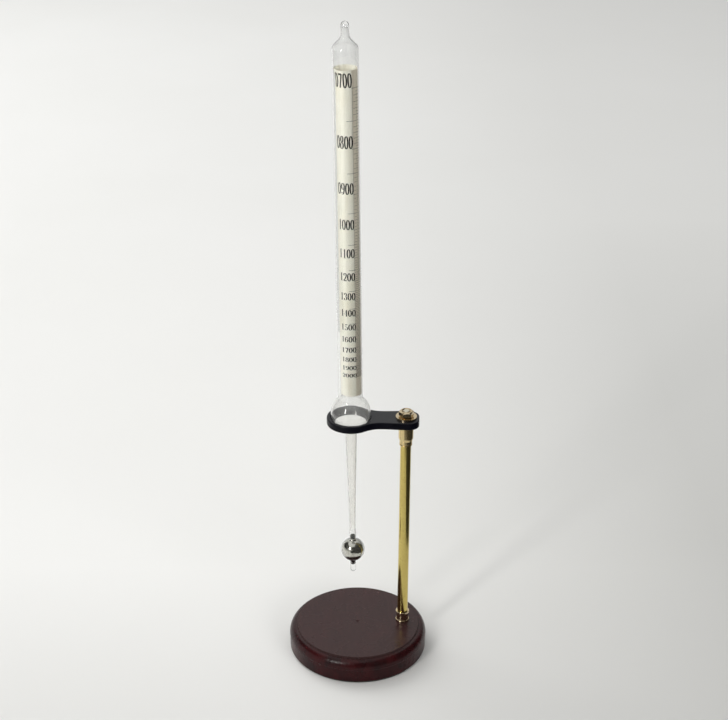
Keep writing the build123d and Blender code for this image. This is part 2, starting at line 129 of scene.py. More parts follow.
def place(tree, stretch=(1, 1, 1)):
    """Object coordinates, stretched by a factor on each axis."""
    coords = add(tree, "ShaderNodeTexCoord")
    mapping = add(tree, "ShaderNodeMapping")
    mapping.inputs["Scale"].default_value = stretch
    link(tree, coords.outputs["Object"], mapping.inputs["Vector"])
    return mapping.outputs["Vector"]


def noise(tree, where, scale, detail=3.0, rough=0.55, distortion=0.0):
    made = add(tree, "ShaderNodeTexNoise")
    made.inputs["Scale"].default_value = scale
    made.inputs["Detail"].default_value = detail
    made.inputs["Roughness"].default_value = rough
    made.inputs["Distortion"].default_value = distortion
    link(tree, where, made.inputs["Vector"])
    return made.outputs["Fac"]


def ranged(tree, value, low, high, to_low, to_high):
    made = add(tree, "ShaderNodeMapRange")
    made.clamp = True
    made.inputs["From Min"].default_value = low
    made.inputs["From Max"].default_value = high
    made.inputs["To Min"].default_value = to_low
    made.inputs["To Max"].default_value = to_high
    link(tree, value, made.inputs["Value"])
    return made.outputs["Result"]


def colour_socket(sockets, name):
    return [socket for socket in sockets if socket.name == name and socket.type == "RGBA"][0]


def mixed(tree, factor, first, second):
    """A colour between two, each a colour or another node's output."""
    made = add(tree, "ShaderNodeMix", data_type="RGBA")
    link(tree, factor, made.inputs["Factor"])
    for name, value in (("A", first), ("B", second)):
        socket = colour_socket(made.inputs, name)
        if isinstance(value, tuple):
            socket.default_value = (*value, 1.0)
        else:
            link(tree, value, socket)
    return colour_socket(made.outputs, "Result")


def maths(tree, operation, first, second=0.5):
    made = add(tree, "ShaderNodeMath", operation=operation)
    for socket, value in ((made.inputs[0], first), (made.inputs[1], second)):
        if isinstance(value, (int, float)):
            socket.default_value = value
        else:
            link(tree, value, socket)
    return made.outputs["Value"]


def mixed_value(tree, factor, first, second):
    """A number between two others by a factor; the second is a plain number."""
    kept = maths(tree, "MULTIPLY", first, maths(tree, "SUBTRACT", 1.0, factor))
    return maths(tree, "ADD", kept, maths(tree, "MULTIPLY", factor, second))


def bump(tree, shader, height, distance, strength=1.0):
    made = add(tree, "ShaderNodeBump")
    made.inputs["Distance"].default_value = distance
    made.inputs["Strength"].default_value = strength
    link(tree, height, made.inputs["Height"])
    link(tree, made.outputs["Normal"], shader.inputs["Normal"])


def components(tree):
    coords = add(tree, "ShaderNodeTexCoord")
    split = add(tree, "ShaderNodeSeparateXYZ")
    link(tree, coords.outputs["Object"], split.inputs["Vector"])
    return split.outputs["X"], split.outputs["Y"], split.outputs["Z"]


def upward(tree):
    """How far a face turns up: 1 on a level top, 0 on an upright side."""
    split = add(tree, "ShaderNodeSeparateXYZ")
    link(tree, add(tree, "ShaderNodeNewGeometry").outputs["Normal"], split.inputs["Vector"])
    return split.outputs["Z"]


def distance_along(tree, where, direction):
    """How far a place lies along a direction."""
    dot = add(tree, "ShaderNodeVectorMath", operation="DOT_PRODUCT")
    dot.inputs[1].default_value = direction
    link(tree, where, dot.inputs[0])
    return dot.outputs["Value"]


def distance_from(tree, x, y):
    """The distance from an upright axis."""
    along_x, along_y, _ = components(tree)
    dx = maths(tree, "SUBTRACT", along_x, x)
    dy = maths(tree, "SUBTRACT", along_y, y)
    squares = maths(tree, "ADD", maths(tree, "MULTIPLY", dx, dx), maths(tree, "MULTIPLY", dy, dy))
    return maths(tree, "SQRT", squares)


# ---------------------------------------------------------------- stage

def plain_mesh(name, points, faces, material):
    """A mesh in metres, in the scene."""
    mesh = bpy.data.meshes.new(name)
    mesh.from_pydata(points, [], faces)
    mesh.materials.append(material)
    made = bpy.data.objects.new(name, mesh)
    bpy.context.scene.collection.objects.link(made)
    return made


def studio_paper():
    """Pale paper with painted shade: greyer to the viewer's right and towards the viewer."""
    made, tree, shader = new_material("studio_paper")
    where = place(tree)
    tone = ranged(tree, noise(tree, where, 2.2, 3.0), 0.3, 0.7, 0.0, 1.0)
    sheet = mixed(tree, tone, (0.825, 0.825, 0.81), (0.85, 0.85, 0.84))
    toward = distance_along(tree, where, -FORWARD)
    # Painted shade: the paper greys to the viewer's right, less so far away, and again towards the viewer.
    shade = ranged(tree, distance_along(tree, where, RIGHT), -0.05, 0.30, 0.0, 1.0)
    near = ranged(tree, toward, -0.9, -0.15, 0.3, 1.0)
    sheet = mixed(tree, maths(tree, "MULTIPLY", shade, near), sheet, (0.60, 0.60, 0.585))
    front = ranged(tree, toward, -0.10, 0.16, 0.0, 0.45)
    link(tree, mixed(tree, front, sheet, (0.50, 0.50, 0.49)), shader.inputs["Base Color"])
    shader.inputs["Roughness"].default_value = 0.85
    bump(tree, shader, noise(tree, where, 900.0, 2.0), 0.00002)
    return made


def make_floor():
    reach = 14.0
    corners = [(-reach, -reach, 0), (reach, -reach, 0), (reach, reach, 0), (-reach, reach, 0)]
    floor = plain_mesh("studio_floor", corners, [(0, 1, 2, 3)], studio_paper())


def make_world():
    """Pale light, dimmer from the viewer's side and right, as in a room with one lit end."""
    world = bpy.data.worlds.new("studio_world")
    bpy.context.scene.world = world
    world.use_nodes = True
    tree = world.node_tree
    background = tree.nodes["Background"]
    bright_way = (FORWARD * 0.30 - RIGHT * 0.50 + UP * 0.80).normalized()
    sky = add(tree, "ShaderNodeTexCoord").outputs["Generated"]
    lit = ranged(tree, distance_along(tree, sky, bright_way), -0.35, 0.80, 0.0, 1.0)
    tint = mixed(tree, lit, (0.14, 0.14, 0.145), (1.0, 1.0, 0.985))
    sight = add(tree, "ShaderNodeLightPath").outputs["Is Camera Ray"]
    shown = mixed(tree, sight, tint, (0.78, 0.78, 0.77))
    link(tree, shown, background.inputs["Color"])
    background.inputs["Strength"].default_value = 0.76


# A dark sheet that stands in for the shade of the unlit room, seen only in reflections and through glass.
def unlit_room_sheet():
    made, tree, shader = new_material("dark_room")
    patch = noise(tree, place(tree), 3.0, 2.0)
    dark = mixed(tree, patch, (0.02, 0.02, 0.02), (0.05, 0.048, 0.045))
    link(tree, dark, shader.inputs["Base Color"])
    shader.inputs["Roughness"].default_value = 0.9
    return made


def make_dark_room():
    """The unlit room round the front, seen only in reflections and through glass.

    It has a gap before the key lamp, so that the lamp shows in reflections too. At the left it's open
    below, to the lit tabletop. It comes nearer at the right.
    """
    far, near, top = 0.30, 0.17, 0.42
    left_end, right_end = -130.0, 118.0
    nearing_from, nearing_turn = 15, 35
    stretches = ((left_end, KEY_ANGLE - KEY_GAP, 0.12), (KEY_ANGLE + KEY_GAP, right_end, 0.002))
    points, faces = [], []
    for first, last, foot in stretches:
        steps = int((last - first) / 4)
        start = len(points)
        for i in range(steps + 1):
            angle = first + i * (last - first) / steps
            share = min(1, max(0, (angle - nearing_from) / nearing_turn))
            reach = far + (near - far) * share
            points += [around(angle, reach, foot), around(angle, reach, top)]
        for i in range(steps):
            a = start + 2 * i
            faces.append((a, a + 2, a + 3, a + 1))
    room = plain_mesh("dark_room", points, faces, unlit_room_sheet())
    for ray in ("visible_camera", "visible_shadow", "visible_diffuse"):
        setattr(room, ray, False)


def make_lamps():
    """A narrow key lamp at the front left, a wide lamp high at the back left and a soft one at the right.

    Only the key lamp shows in reflections and through glass. The soft one has a narrow spread, aimed at
    the tube, so that it lights the base less.
    """
    area_lamp("key_lamp", around(KEY_ANGLE, 0.95, 0.68), UP * 0.25, (0.11, 0.42), 3.4, (1.0, 0.985, 0.96))
    top_lamp = area_lamp("top_lamp", around(-140, 2.0, 1.9), UP * 0.1, (1.8, 1.8), 29.0, (1.0, 1.0, 0.99))
    fill_lamp = area_lamp("fill_lamp", around(38, 1.2, 0.75), UP * 0.38, (0.7, 0.7), 0.72, (1.0, 0.99, 0.97))
    fill_lamp.data.spread = math.radians(40)
    for lamp in (top_lamp, fill_lamp):
        lamp.visible_glossy = False
        lamp.visible_transmission = False


# ---------------------------------------------------------------- materials

def mahogany():
    """Dark red-brown lacquer over turned wood, redder and wavier on the moulded edge."""
    made, tree, shader = new_material("mahogany_lacquer")
    where = place(tree, (1.0, 0.12, 1.0))
    grain = noise(tree, where, 420.0, 6.0, 0.6, 0.4)
    figure = noise(tree, place(tree, (1.0, 0.35, 1.0)), 60.0, 3.0, 0.5, 1.2)
    streaks = ranged(tree, grain, 0.3, 0.7, 0.0, 1.0)
    body = mixed(tree, streaks, (0.030, 0.0125, 0.0125), (0.040, 0.0175, 0.017))
    body = mixed(tree, ranged(tree, figure, 0.45, 0.75, 0.0, 0.6), body, (0.048, 0.016, 0.016))
    top_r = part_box("wood_base")[1].x
    edge = ranged(tree, distance_from(tree, 0, 0), 0.885 * top_r, 0.93 * top_r, 0.0, 1.0)
    tone = ranged(tree, noise(tree, place(tree), 90.0, 4.0), 0.35, 0.65, 0.0, 1.0)
    band = mixed(tree, tone, (0.014, 0.0024, 0.0030), (0.036, 0.0038, 0.0048))
    link(tree, mixed(tree, edge, body, band), shader.inputs["Base Color"])
    smear = noise(tree, place(tree), 55.0, 4.0)
    link(tree, ranged(tree, smear, 0.3, 0.7, 0.22, 0.32), shader.inputs["Roughness"])
    shader.inputs["IOR"].default_value = 1.45
    link(tree, ranged(tree, upward(tree), 0.0, 0.9, 0.20, 0.36), shader.inputs["Specular IOR Level"])
    ripple = noise(tree, place(tree), 420.0, 3.0, 0.6)
    pores = noise(tree, where, 900.0, 2.0)
    calm = maths(tree, "ADD", maths(tree, "MULTIPLY", ripple, 0.25), maths(tree, "MULTIPLY", pores, 0.25))
    wavy = maths(tree, "MULTIPLY", maths(tree, "MULTIPLY", ripple, edge), 3.4)
    bump(tree, shader, maths(tree, "ADD", calm, wavy), 0.00012, 0.5)
    return made


def felt():
    made, tree, shader = new_material("felt")
    fibre = noise(tree, place(tree), 2600.0, 5.0, 0.7)
    link(tree, mixed(tree, fibre, (0.012, 0.016, 0.013), (0.045, 0.055, 0.046)), shader.inputs["Base Color"])
    shader.inputs["Roughness"].default_value = 0.95
    shader.inputs["Sheen Weight"].default_value = 0.3
    bump(tree, shader, fibre, 0.0003)
    return made


def metal(name, colours, roughness, streak, tarnish, line_bump):
    """A polished metal with fine lines along or round its axis and a little tarnish."""
    made, tree, shader = new_material(name)
    shader.inputs["Metallic"].default_value = 1.0
    lines = noise(tree, place(tree, streak), 900.0, 3.0, 0.6)
    patches = noise(tree, place(tree), 240.0, 5.0, 0.6, 0.6)
    base = mixed(tree, ranged(tree, patches, 0.35, 0.7, 0.0, 1.0), colours[0], colours[1])
    dull = ranged(tree, noise(tree, place(tree), 620.0, 4.0, 0.65), 0.56, 0.72, 0.0, tarnish)
    base = mixed(tree, dull, base, colours[2])
    link(tree, base, shader.inputs["Base Color"])
    gloss = ranged(tree, lines, 0.3, 0.7, roughness[0], roughness[1])
    link(tree, maths(tree, "ADD", gloss, maths(tree, "MULTIPLY", dull, 0.25)), shader.inputs["Roughness"])
    bump(tree, shader, lines, line_bump, 0.4)
    return made


def paint_reflection_above(made, height, colour):
    """Paints a pale reflection into a metal above a height, at the end of its stud."""
    tree = made.node_tree
    socket = tree.nodes["Principled BSDF"].inputs["Base Color"]
    below = socket.links[0].from_socket
    share = ranged(tree, components(tree)[2], height, height + 0.0005, 0.0, 1.0)
    link(tree, mixed(tree, share, below, colour), socket)


def arm_black():
    """Satin black, faintly blue, shinier on top, with a fine grain and a few pale specks of dust."""
    made, tree, shader = new_material("arm_black")
    where = place(tree)
    cloud = noise(tree, where, 160.0, 4.0, 0.6)
    patchy = ranged(tree, cloud, 0.3, 0.7, 0.0, 1.0)
    base = mixed(tree, patchy, (0.0012, 0.0013, 0.0035), (0.0028, 0.003, 0.0065))
    specks = add(tree, "ShaderNodeTexVoronoi")
    specks.inputs["Scale"].default_value = 330.0
    link(tree, where, specks.inputs["Vector"])
    near = ranged(tree, specks.outputs["Distance"], 0.045, 0.075, 1.0, 0.0)
    pick = ranged(tree, noise(tree, where, 140.0, 1.0), 0.62, 0.66, 0.0, 1.0)
    dust = maths(tree, "MULTIPLY", near, pick)
    link(tree, mixed(tree, dust, base, (0.45, 0.44, 0.42)), shader.inputs["Base Color"])
    link(tree, ranged(tree, cloud, 0.25, 0.75, 0.30, 0.40), shader.inputs["Roughness"])
    link(tree, ranged(tree, upward(tree), 0.3, 0.9, 0.12, 0.45), shader.inputs["Specular IOR Level"])
    grain = noise(tree, where, 2400.0, 3.0, 0.6)
    bump(tree, shader, grain, 0.00002, 0.5)
    return made


def clear_glass():
    """Drawn glass with a very faint lengthwise ripple and a little haze.

    It's paler and less clear at the stem, and less so at the ball, where the paleness is a painted
    reflection.
    Up to the stem's top it's darker towards its outline, painted shade at its edges. Lamps shine through it.
    """
    made, tree, shader = new_material("clear_glass")
    height = components(tree)[2]
    neck, stem_top, ball_top, outline_top = (0.094, 0.104), (0.180, 0.188), (0.203, 0.208), (0.180, 0.186)
    # Paler and less clear from the neck up; at the ball it drops to under half, a painted pale reflection
    # over the ring behind.
    over = ranged(tree, height, *neck, 0.0, 1.0)
    stem = ranged(tree, height, *stem_top, 1.0, 0.42)
    ball = ranged(tree, height, *ball_top, 1.0, 0.0)
    paleness_and_reflection = maths(tree, "MULTIPLY", over, maths(tree, "MULTIPLY", stem, ball))
    body = mixed(tree, paleness_and_reflection, (0.992, 0.994, 0.99), (0.955, 0.95, 0.93))
    # Painted shade at the glass's edges: up to the stem's top, its colour darkens towards its outline.
    facing = add(tree, "ShaderNodeLayerWeight")
    facing.inputs["Blend"].default_value = 0.5
    rim = ranged(tree, facing.outputs["Facing"], 0.40, 0.80, 0.0, 1.0)
    outline = maths(tree, "MULTIPLY", rim, ranged(tree, height, *outline_top, 1.0, 0.0))
    link(tree, mixed(tree, outline, body, (0.62, 0.63, 0.62)), shader.inputs["Base Color"])
    link(tree, ranged(tree, paleness_and_reflection, 0.0, 1.0, 1.0, 0.90), shader.inputs["Transmission Weight"])
    shader.inputs["IOR"].default_value = 1.47
    haze = noise(tree, place(tree), 130.0, 4.0, 0.6)
    clouded = ranged(tree, haze, 0.45, 0.8, 0.005, 0.03)
    link(tree, mixed_value(tree, paleness_and_reflection, clouded, 0.015), shader.inputs["Roughness"])
    draw = noise(tree, place(tree, (1.0, 1.0, 0.03)), 420.0, 2.0, 0.5)
    bump(tree, shader, draw, 0.000002, 0.08)
    clear = add(tree, "ShaderNodeBsdfTransparent")
    clear.inputs["Color"].default_value = (0.90, 0.91, 0.90, 1)
    mix = add(tree, "ShaderNodeMixShader")
    link(tree, add(tree, "ShaderNodeLightPath").outputs["Is Shadow Ray"], mix.inputs[0])
    link(tree, shader.outputs["BSDF"], mix.inputs[1])
    link(tree, clear.outputs["BSDF"], mix.inputs[2])
    link(tree, mix.outputs["Shader"], tree.nodes["Material Output"].inputs["Surface"])
    return made


def mercury():
    """Liquid metal under old glass, darker where the glass narrows above and below: a painted dark
    reflection.
    """
    made, tree, shader = new_material("mercury")
    shader.inputs["Metallic"].default_value = 1.0
    film = noise(tree, place(tree), 320.0, 5.0, 0.6, 0.4)
    bright = mixed(tree, ranged(tree, film, 0.4, 0.7, 0.0, 1.0), (0.66, 0.655, 0.60), (0.52, 0.505, 0.44))
    height = components(tree)[2]
    neck, waist = (0.0895, 0.0905), (0.0770, 0.0782)
    above, below = ranged(tree, height, *neck, 0.0, 1.0), ranged(tree, height, *waist, 1.0, 0.0)
    # Painted dark reflection: near black above the neck and below the waist.
    painted_dark_reflection = maths(tree, "ADD", above, below)
    link(tree, mixed(tree, painted_dark_reflection, bright, (0.06, 0.06, 0.05)), shader.inputs["Base Color"])
    link(tree, ranged(tree, film, 0.35, 0.75, 0.12, 0.24), shader.inputs["Roughness"])
    bump(tree, shader, noise(tree, place(tree), 170.0, 2.0), 0.00006, 0.3)
    return made


def scale_paper():
    """Old cream paper, browner in patches, and tan down the strip that carries the graduations: partly their
    printed tone, partly painted shade.
    """
    made, tree, shader = new_material("scale_paper")
    fibre = noise(tree, place(tree, (1.0, 1.0, 0.35)), 1500.0, 5.0, 0.65)
    age = noise(tree, place(tree, (1.0, 1.0, 0.3)), 90.0, 4.0, 0.6)
    base = mixed(tree, ranged(tree, fibre, 0.3, 0.7, 0.0, 1.0), (0.86, 0.84, 0.74), (0.90, 0.88, 0.795))
    base = mixed(tree, ranged(tree, age, 0.5, 0.78, 0.0, 0.55), base, (0.78, 0.72, 0.56))
    # The tan down the graduations is partly the tone of their dense printing and partly painted shade on the
    # roll's side turned from the key lamp.
    strip = add(tree, "ShaderNodeAttribute", attribute_name="tan_and_shade_strip")
    base = mixed(tree, strip.outputs["Fac"], base, (0.74, 0.68, 0.57))
    link(tree, base, shader.inputs["Base Color"])
    shader.inputs["Roughness"].default_value = 0.8
    bump(tree, shader, fibre, 0.00003, 0.6)
    return made


def ink():
    """Letterpress black, a little thin in places."""
    made, tree, shader = new_material("scale_ink")
    wear = noise(tree, place(tree), 2200.0, 4.0, 0.7)
    thin = ranged(tree, wear, 0.5, 0.8, 0.0, 0.5)
    link(tree, mixed(tree, thin, (0.012, 0.012, 0.012), (0.10, 0.09, 0.075)), shader.inputs["Base Color"])
    shader.inputs["Roughness"].default_value = 0.9
    shader.inputs["Specular IOR Level"].default_value = 0.1
    bump(tree, shader, wear, 0.00001, 0.5)
    return made


# ---------------------------------------------------------------- mesh helpers

def polar(centre, radius, angle):
    turn = math.radians(angle)
    return (centre[0] + radius * math.cos(turn), centre[1] + radius * math.sin(turn))


def arc(centre, radius, start, end, steps):
    return [polar(centre, radius, start + (end - start) * i / steps) for i in range(steps + 1)]


def piece(name, points, faces, material, body, slot_name, *replaced):
    """A mesh piece in millimetres that rides on a body."""
    mesh = bpy.data.meshes.new(name)
    mesh.from_pydata([tuple(c * MM for c in p) for p in points], [], faces)
    mesh.materials.append(material)
    made = bpy.data.objects.new(name, mesh)
    bpy.context.scene.collection.objects.link(made)
    for polygon in mesh.polygons:
        polygon.use_smooth = True
    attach(made, body)
    if replaced:
        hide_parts(*replaced)
    return made


def lathe_mesh(profile, axis, segments, start=0):
    """Points and faces of a profile of (radius, height) turned about an upright axis.

    A profile that climbs on the outside faces outwards. Its ends may lie on the axis.
    """
    points, rings, faces = [], [], []
    for radius, height in profile:
        if radius < 1e-6:
            rings.append([start + len(points)])
            points.append((axis[0], axis[1], height))
        else:
            rings.append([start + len(points) + i for i in range(segments)])
            for i in range(segments):
                angle = 2 * math.pi * i / segments
                side = (axis[0] + radius * math.cos(angle), axis[1] + radius * math.sin(angle))
                points.append((*side, height))
    for low, high in zip(rings, rings[1:]):
        for i in range(segments):
            j = (i + 1) % segments
            if len(low) == 1:
                faces.append((low[0], high[j], high[i]))
            elif len(high) == 1:
                faces.append((low[i], low[j], high[0]))
            else:
                faces.append((low[i], low[j], high[j], high[i]))
    return points, faces


def mark_sharp(made, angle):
    made.data.set_sharp_from_angle(angle=math.radians(angle))


# ---------------------------------------------------------------- hydrometer glass, in millimetres

glass_low, glass_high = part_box("glass_envelope")
GLASS_AXIS = ((glass_low.x + glass_high.x) / 2 / MM, (glass_low.y + glass_high.y) / 2 / MM)
BALL_R = (glass_high.x - glass_low.x) / 2 / MM
GLASS_FOOT, GLASS_TOP = 61.6, 472.2
WALL = 0.6
TIP_R, WAIST_R, NECK_R = 2.2, 2.05, 2.55
WAIST_Z, NECK_Z = 67.2, 93.5
BULB_R, BULB_Z, BULB_BLEND, NECK_BLEND = 8.75, 80.35, 4.0, 1.0
STEM = ((2.15, 99.0), (2.4, 113.5), (3.32, 146.6))
STEM_TOP_R = 4.03
BALL_Z, BALL_FOOT_BLEND, BALL_TOP_BLEND = 193.4, 4.0, 5.0
TUBE_R, SHOULDER_Z, SHOULDER_R = 8.66, 454.4, 3.6
NIPPLE_FOOT_R, NIPPLE_BLEND, NIPPLE_R = 3.0, 5.1, 2.68
CAVITY_FOOT, CAVITY_TOP = 67.5, 469.9
MERCURY_TOP, MENISCUS = 93.0, 0.7
GLASS_SEGMENTS = 128
# The hydrometer leans in its ring, turned about a level line through the middle of its ball.
LEAN, LEAN_AXIS_ANGLE = 1.0, 84.35


def leaned(points):
    """Upright points of the hydrometer, turned to the lean that it stands at."""
    middle = Vector((*GLASS_AXIS, BALL_Z))
    line = Vector((*polar((0, 0), 1, LEAN_AXIS_ANGLE), 0))
    turn = Matrix.Rotation(math.radians(-LEAN), 3, line)
    return [tuple(middle + turn @ (Vector(point) - middle)) for point in points]


def blend(ball_r, stem_r, blend_r):
    """How far a concave blend's centre is from a ball's along the axis, and the angle where they meet."""
    height = math.sqrt((ball_r + blend_r) ** 2 - (stem_r + blend_r) ** 2)
    return height, math.degrees(math.atan2(height, stem_r + blend_r))


def smooth_stem(foot, middle, top, inset, steps=14):
    """A cubic Hermite curve through the stem's widths, upright at both ends and at its narrowest width."""
    knots = [foot, *middle, top]
    slopes = [0.0]
    for before, after in zip(knots, knots[2:]):
        slopes.append((after[0] - before[0]) / (after[1] - before[1]))
    slopes.append(0.0)
    slopes[1] = 0.0
    line = []
    for (a, b), (sa, sb) in zip(zip(knots, knots[1:]), zip(slopes, slopes[1:])):
        span = b[1] - a[1]
        for i in range(steps):
            t = i / steps
            radius = (
                (2 * t**3 - 3 * t**2 + 1) * a[0]
                + (t**3 - 2 * t**2 + t) * span * sa
                + (3 * t**2 - 2 * t**3) * b[0]
                + (t**3 - t**2) * span * sb
            )
            line.append((radius - inset, a[1] + span * t))
    line.append((top[0] - inset, top[1]))
    return line


def glass_line(inset, foot_z, cap_z):
    """The glass outline at a depth inside its outer surface, from the waist to under the nipple's cap."""
    foot_h, foot_angle = blend(BULB_R, WAIST_R, BULB_BLEND)
    neck_h, neck_angle = blend(BULB_R, NECK_R, NECK_BLEND)
    stem_h, stem_angle = blend(BALL_R, STEM_TOP_R, BALL_FOOT_BLEND)
    tube_h, tube_angle = blend(BALL_R, TUBE_R, BALL_TOP_BLEND)
    line = [(WAIST_R - inset, foot_z)]
    line += arc((WAIST_R + BULB_BLEND, BULB_Z - foot_h), BULB_BLEND + inset, 180, 180 - foot_angle, 12)
    line += arc((0, BULB_Z), BULB_R - inset, -foot_angle, neck_angle, 48)[1:]
    line += arc((NECK_R + NECK_BLEND, BULB_Z + neck_h), NECK_BLEND + inset, 180 + neck_angle, 180, 8)[1:]
    line += smooth_stem((NECK_R, NECK_Z), STEM, (STEM_TOP_R, BALL_Z - stem_h), inset)
    line += arc((STEM_TOP_R + BALL_FOOT_BLEND, BALL_Z - stem_h), BALL_FOOT_BLEND + inset,
                180, 180 - stem_angle, 12)[1:]
    line += arc((0, BALL_Z), BALL_R - inset, -stem_angle, tube_angle, 48)[1:]
    line += arc((TUBE_R + BALL_TOP_BLEND, BALL_Z + tube_h), BALL_TOP_BLEND + inset,
                180 + tube_angle, 180, 14)[1:]
    tube_z = BALL_Z + tube_h
    line += [(TUBE_R - inset, tube_z + (SHOULDER_Z - tube_z) * i / 12) for i in range(1, 12)]
    line += arc((TUBE_R - SHOULDER_R, SHOULDER_Z), SHOULDER_R - inset, 0, 45, 8)
    half = math.cos(math.radians(45))
    run = (TUBE_R - SHOULDER_R + SHOULDER_R * half) - (NIPPLE_FOOT_R + NIPPLE_BLEND - NIPPLE_BLEND * half)
    nipple_z = SHOULDER_Z + SHOULDER_R * half + run + NIPPLE_BLEND * half
    line += arc((NIPPLE_FOOT_R + NIPPLE_BLEND, nipple_z), NIPPLE_BLEND + inset, 225, 180, 12)
    line.append((NIPPLE_R - inset, cap_z))
    return line


def make_glass(material):
    outer = arc((0, GLASS_FOOT + TIP_R), TIP_R, -90, 0, 14)
    outer += glass_line(0, WAIST_Z, GLASS_TOP - NIPPLE_R)
    outer += arc((0, GLASS_TOP - NIPPLE_R), NIPPLE_R, 0, 90, 14)[1:]
    foot_r, cap_r = WAIST_R - WALL, NIPPLE_R - WALL
    inner = arc((0, CAVITY_FOOT + foot_r), foot_r, -90, 0, 10)[:-1]
    inner += glass_line(WALL, CAVITY_FOOT + foot_r, CAVITY_TOP - cap_r)
    inner += arc((0, CAVITY_TOP - cap_r), cap_r, 0, 90, 10)[1:]
    outer[0], outer[-1] = (0, outer[0][1]), (0, outer[-1][1])
    inner[0], inner[-1] = (0, inner[0][1]), (0, inner[-1][1])
    points, faces = lathe_mesh(outer, GLASS_AXIS, GLASS_SEGMENTS)
    more_points, more_faces = lathe_mesh(inner[::-1], GLASS_AXIS, GLASS_SEGMENTS, len(points))
    piece("glass_envelope_drawn", leaned(points + more_points), faces + more_faces, material,
          "hydrometer", "clear_glass", "glass_envelope")


def make_mercury(material):
    gap = WALL + 0.02
    foot_r = WAIST_R - WALL
    line = arc((0, CAVITY_FOOT + foot_r), WAIST_R - gap, -90, 0, 10)[:-1]
    line += glass_line(gap, CAVITY_FOOT + foot_r, CAVITY_TOP)
    edge_z = MERCURY_TOP - MENISCUS
    line = [p for p in line if p[1] < edge_z]
    neck = NECK_R - gap
    dome_r = (neck**2 + MENISCUS**2) / (2 * MENISCUS)
    rim = math.degrees(math.asin(neck / dome_r))
    line += arc((0, MERCURY_TOP - dome_r), dome_r, 90 - rim, 90, 10)
    line[0], line[-1] = (0, line[0][1]), (0, MERCURY_TOP)
    points, faces = lathe_mesh(line, GLASS_AXIS, GLASS_SEGMENTS)
    piece("mercury_pool", leaned(points), faces, material, "hydrometer", "mercury", "mercury_ballast")


# ---------------------------------------------------------------- paper scale, in millimetres

PAPER_R, PAPER_T = 7.32, 0.12
PAPER_FOOT, PAPER_TOP = 209.6, 442.1
# The roll lies against one side of the tube, and opens at its top end until it's centred there.
PAPER_OFFSET, PAPER_SIDE = 0.68, VIEW_AZIMUTH
PAPER_FLARE, PAPER_FLARE_H = 0.52, 9.0
PRINT_LIFT = 0.045
# The roll's overlap at the back: its angle, and how far inside it tucks, from where and over what turn.
LAP_ANGLE, LAP_TUCK, TUCK_FROM, TUCK_TURN = 24.0, 0.2, 344, 12
# The polar angle of the paper that faces the camera, and angles to the viewer's right of it.
to_camera = around(0, CAMERA_BACK, 0) + RIGHT * CAMERA_SIDE - Vector((*GLASS_AXIS, 0)) * MM
FACING = math.degrees(math.atan2(to_camera.y, to_camera.x))
# How far to the left the first and last number's middles are.
NUMBER_LEFT_TURN = (20.0, 9.5)
# The ladder's two upright lines: their angles, half thickness and reach past the first and last mark.
LADDER_LEFT, LADDER_RIGHT = 28.0, 74.0
LADDER_HALF, LADDER_PAST = 0.06, 1.0
# The marks by the units that they fall on: where they start on the left, and how thick they are.
MARKS = (
    (100, LADDER_LEFT - 4, 0.24),
    (50, -4.0, 0.22),
    (10, LADDER_LEFT + 4, 0.2),
    (5, LADDER_LEFT + 18, 0.16),
)
# The tan strip's left side, the angle that it fades in over, and its right side. Its tan is partly the tone
# of the dense graduations and partly painted shade on the roll's side turned from the key lamp.
TAN_SHADE_LEFT, TAN_SHADE_FADE, TAN_SHADE_RIGHT = 26.0, 2.5, 120


def flare(height):
    return max(0.0, (height - (PAPER_TOP - PAPER_FLARE_H)) / PAPER_FLARE_H) ** 2


def on_paper(angle, height, lift=0.0):
    """A point on the upright roll, by its angle to the viewer's right of the side facing the camera."""
    opened = flare(height)
    radius = PAPER_R + PAPER_FLARE * opened + lift
    centre = polar(GLASS_AXIS, PAPER_OFFSET * (1 - opened), PAPER_SIDE)
    return (*polar(centre, radius, FACING + angle), height)


def make_paper(material):
    """One sheet rolled through a little more than a turn, its last stretch inside its first."""
    around_steps, up_steps = 150, 160
    first = 180 - LAP_ANGLE / 2
    total = 360 + LAP_ANGLE
    columns = []
    for i in range(around_steps + 1):
        swept = total * i / around_steps
        tuck = min(1.0, max(0.0, (swept - TUCK_FROM) / TUCK_TURN))
        columns.append((first + swept, -LAP_TUCK * tuck))
    heights = [PAPER_FOOT + (PAPER_TOP - PAPER_FOOT) * i / up_steps for i in range(up_steps + 1)]
    points, strip = [], []
    for depth in (0.0, -PAPER_T):
        for angle, tuck in columns:
            facing = (angle + 180) % 360 - 180
            # Tan and painted shade down the strip to the viewer's right.
            tone = min(1.0, max(0.0, (facing - TAN_SHADE_LEFT) / TAN_SHADE_FADE)) if facing < TAN_SHADE_RIGHT else 0.0
            for height in heights:
                points.append(on_paper(angle, height, depth + tuck))
                strip.append(tone)
    rows = up_steps + 1
    side = (around_steps + 1) * rows
    faces = []
    for i in range(around_steps):
        for j in range(up_steps):
            a = i * rows + j
            faces.append((a, a + rows, a + rows + 1, a + 1))
            faces.append((side + a, side + a + 1, side + a + rows + 1, side + a + rows))
    for i in range(around_steps):
        a, b = i * rows, i * rows + up_steps
        faces.append((a, side + a, side + a + rows, a + rows))
        faces.append((b, b + rows, side + b + rows, side + b))
    for j in range(up_steps):
        a, b = j, around_steps * rows + j
        faces.append((a, a + 1, side + a + 1, side + a))
        faces.append((b, side + b, side + b + 1, b + 1))
    made = piece("scale_sheet", leaned(points), faces, material,
                 "hydrometer", "scale_paper", "scale_paper")
    tones = made.data.attributes.new("tan_and_shade_strip", "FLOAT", "POINT")
    tones.data.foreach_set("value", strip)
    mark_sharp(made, 40)


